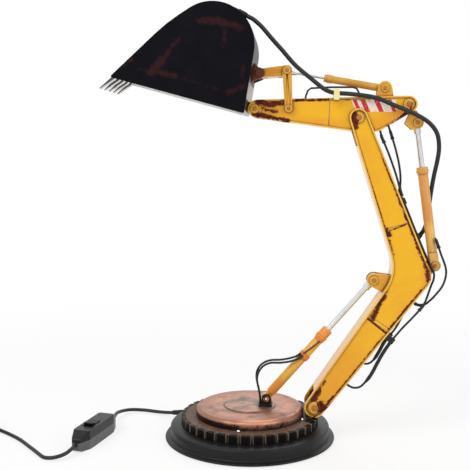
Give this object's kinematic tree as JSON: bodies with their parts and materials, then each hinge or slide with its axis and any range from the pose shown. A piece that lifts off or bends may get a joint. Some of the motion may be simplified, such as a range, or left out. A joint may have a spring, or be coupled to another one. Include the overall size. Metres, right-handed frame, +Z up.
{
  "type": "table lamp",
  "caption": "Table lamp shaped as an excavator: round geared base, bent boom, arm and bucket-shaped shade that swing on pins, with coupled cylinders, an inline rocker switch, cord and plug.",
  "frame": {"origin": "centre of the base's underside, on the surface that the lamp stands on", "axes": "+Z up; +X to the right in the picture, away from the shade; +Y away from the camera; the boom and arm move in the XZ plane"},
  "size_m": [0.5323, 0.229, 0.4424],
  "materials": {
    "iron": "satin dark grey",
    "felt": "felt",
    "black_metal": "black, worn",
    "copper": "aged copper",
    "steel": "bare steel",
    "pins": "orange-brown",
    "cord": "black",
    "switch_grey": "matt grey",
    "black_plastic": "satin black",
    "yellow": "worn amber paint",
    "pale_yellow": "pale amber paint",
    "orange": "orange paint",
    "chrome": "polished",
    "cream": "cream",
    "shade_black": "near-black with rust, white inside",
    "rust": "dark, rusty",
    "white_plastic": "white",
    "bulb_glass": "frosted"
  },
  "bodies": {
    "base": {"base_casting": "iron", "base_pad": "felt", "gear_ring": "black_metal", "turret_drum": "copper", "stack_bolt": "steel", "lift_bracket": "black_metal", "boom_foot_bracket": "black_metal", "base_pins": "pins", "cord_gland": "cord", "cord_lead": "cord", "switch_lower": "switch_grey", "switch_upper": "black_plastic", "cord_tail": "cord", "cord_coil": "cord", "cord_tie": "cord", "plug_body": "black_plastic", "plug_pins": "steel"},
    "switch_button": {"switch_rocker": "black_plastic"},
    "boom": {"boom_band": "yellow", "boom_near_plate": "yellow", "boom_far_plate": "yellow", "boom_lugs": "yellow", "boom_pins": "pins", "boom_cable_fittings": "cord", "boom_hoses": "cord"},
    "lift_barrel": {"lift_barrel": "pale_yellow", "lift_gland": "pale_yellow", "lift_hose_band": "orange", "lift_hoses": "cord"},
    "lift_rod": {"lift_rod": "chrome"},
    "arm": {"arm_band": "yellow", "arm_near_plate": "yellow", "arm_far_plate": "yellow", "arm_tip_boss": "yellow", "arm_rear_lug": "yellow", "arm_pins": "pins", "bucket_clevis": "yellow", "handrail": "black_metal", "cable_clip": "cream", "arm_hoses": "cord", "lamp_lead_arm": "cord"},
    "arm_barrel": {"arm_barrel": "pale_yellow", "arm_gland": "pale_yellow"},
    "arm_rod": {"arm_rod": "chrome"},
    "bucket_barrel": {"bucket_barrel": "pale_yellow"},
    "bucket_rod": {"bucket_rod": "chrome"},
    "rocker": {"rocker_links": "yellow", "rocker_pin": "pins"},
    "bucket_link": {"bucket_link": "yellow"},
    "shade": {"shade_near_side": "shade_black", "shade_far_side": "shade_black", "shade_wrap": "shade_black", "shade_teeth": "steel", "shade_hinge_bar": "shade_black", "shade_link_bracket": "rust", "lamp_holder": "white_plastic", "bulb": "bulb_glass", "lead_elbow": "cord", "lamp_lead_shade": "cord"}
  },
  "joints": [
    {"name": "boom_hinge", "type": "hinge", "parent": "base", "child": "boom", "pos_m": [0.0675, 0, 0.0365], "axis": [0, -1, 0], "range_deg": [-12, 12]},
    {"name": "lift_barrel_hinge", "type": "hinge", "parent": "base", "child": "lift_barrel", "pos_m": [0.0175, 0, 0.0425], "axis": [0, -1, 0], "range_deg": [-10.5, 10.5], "deforming": ["lift_hoses"]},
    {"name": "lift_rod_slide", "type": "slide", "parent": "lift_barrel", "child": "lift_rod", "axis": [0.6542, 0, 0.7563], "range_m": [-0.009, 0.009]},
    {"name": "arm_hinge", "type": "hinge", "parent": "boom", "child": "arm", "pos_m": [0.108, 0, 0.332], "axis": [0, -1, 0], "range_deg": [-12, 12], "deforming": ["arm_hoses", "lamp_lead_arm"]},
    {"name": "arm_barrel_hinge", "type": "hinge", "parent": "boom", "child": "arm_barrel", "pos_m": [0.187, 0, 0.184], "axis": [0, -1, 0], "range_deg": [-1.5, 1.5]},
    {"name": "arm_rod_slide", "type": "slide", "parent": "arm_barrel", "child": "arm_rod", "axis": [-0.1419, 0, 0.9899], "range_m": [-0.0125, 0.0125]},
    {"name": "shade_hinge", "type": "hinge", "parent": "arm", "child": "shade", "pos_m": [0.005, 0, 0.341], "axis": [0, -1, 0], "range_deg": [-15, 15], "deforming": ["lamp_lead_shade"]},
    {"name": "rocker_hinge", "type": "hinge", "parent": "arm", "child": "rocker", "pos_m": [0.039, 0, 0.341], "axis": [0, -1, 0], "range_deg": [-14.5, 14.5]},
    {"name": "link_hinge", "type": "hinge", "parent": "rocker", "child": "bucket_link", "pos_m": [0.037, 0, 0.3785], "axis": [0, -1, 0], "range_deg": [-17.5, 17.5]},
    {"name": "bucket_barrel_hinge", "type": "hinge", "parent": "arm", "child": "bucket_barrel", "pos_m": [0.134, 0, 0.361], "axis": [0, -1, 0], "range_deg": [-1.5, 1.5]},
    {"name": "bucket_rod_slide", "type": "slide", "parent": "bucket_barrel", "child": "bucket_rod", "axis": [-0.9841, 0, 0.1775], "range_m": [-0.0095, 0.0095]},
    {"name": "switch_press", "type": "hinge", "parent": "base", "child": "switch_button", "pos_m": [-0.16161, -0.02963, 0.0154], "axis": [0.972, -0.2351, 0], "range_deg": [0, 14]}
  ],
  "couplings": [
    {"joint": "lift_barrel_hinge", "follows": "boom_hinge", "ratio": 0.8312},
    {"joint": "lift_rod_slide", "follows": "boom_hinge", "m_per_rad": -0.041638},
    {"joint": "arm_barrel_hinge", "follows": "arm_hinge", "ratio": -0.0907},
    {"joint": "arm_rod_slide", "follows": "arm_hinge", "m_per_rad": 0.056539},
    {"joint": "rocker_hinge", "follows": "shade_hinge", "ratio": 0.9177},
    {"joint": "link_hinge", "follows": "shade_hinge", "ratio": -1.1236},
    {"joint": "bucket_barrel_hinge", "follows": "shade_hinge", "ratio": 0.07992},
    {"joint": "bucket_rod_slide", "follows": "shade_hinge", "m_per_rad": 0.033367}
  ]
}
